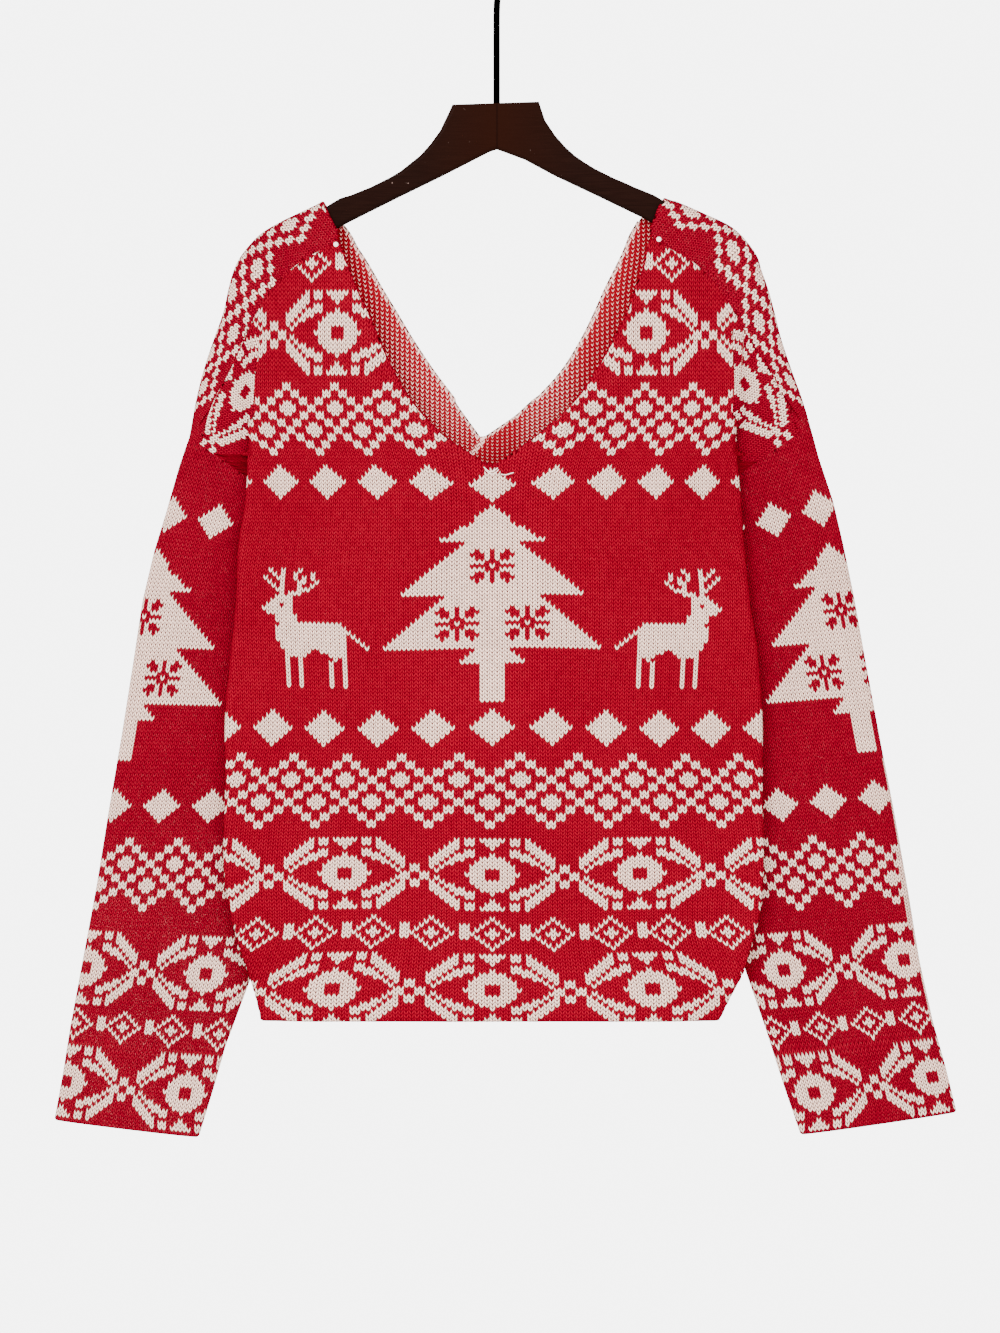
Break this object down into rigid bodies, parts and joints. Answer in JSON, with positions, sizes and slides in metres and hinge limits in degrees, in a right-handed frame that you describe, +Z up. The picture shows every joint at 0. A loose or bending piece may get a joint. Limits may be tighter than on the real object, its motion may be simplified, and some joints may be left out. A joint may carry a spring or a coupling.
{
  "type": "christmas sweater on a wooden hanger",
  "caption": "Knitted jacquard pullover with a deep V neck and dropped shoulders, hanging flat on a wooden hanger with a long rod hook.",
  "frame": {"origin": "the inner top of the hanger's hook, where a rail carries it", "axes": "+Z up along the rod, +X to the right seen from the front, -Y towards the front of the garment"},
  "size_m": [0.6891, 0.0347, 0.9372],
  "materials": {
    "body_knit": "red and ivory double-bed jacquard knit, matt",
    "sleeve_knit": "red and ivory double-bed jacquard knit, matt",
    "hanger_wood": "dark stained wood, satin varnish",
    "hook_steel": "black, satin"
  },
  "bodies": {
    "root": {"front_panel": "body_knit", "back_panel": "body_knit", "left_sleeve": "sleeve_knit", "right_sleeve": "sleeve_knit", "hanger": "hanger_wood", "hook": "hook_steel"}
  },
  "joints": []
}
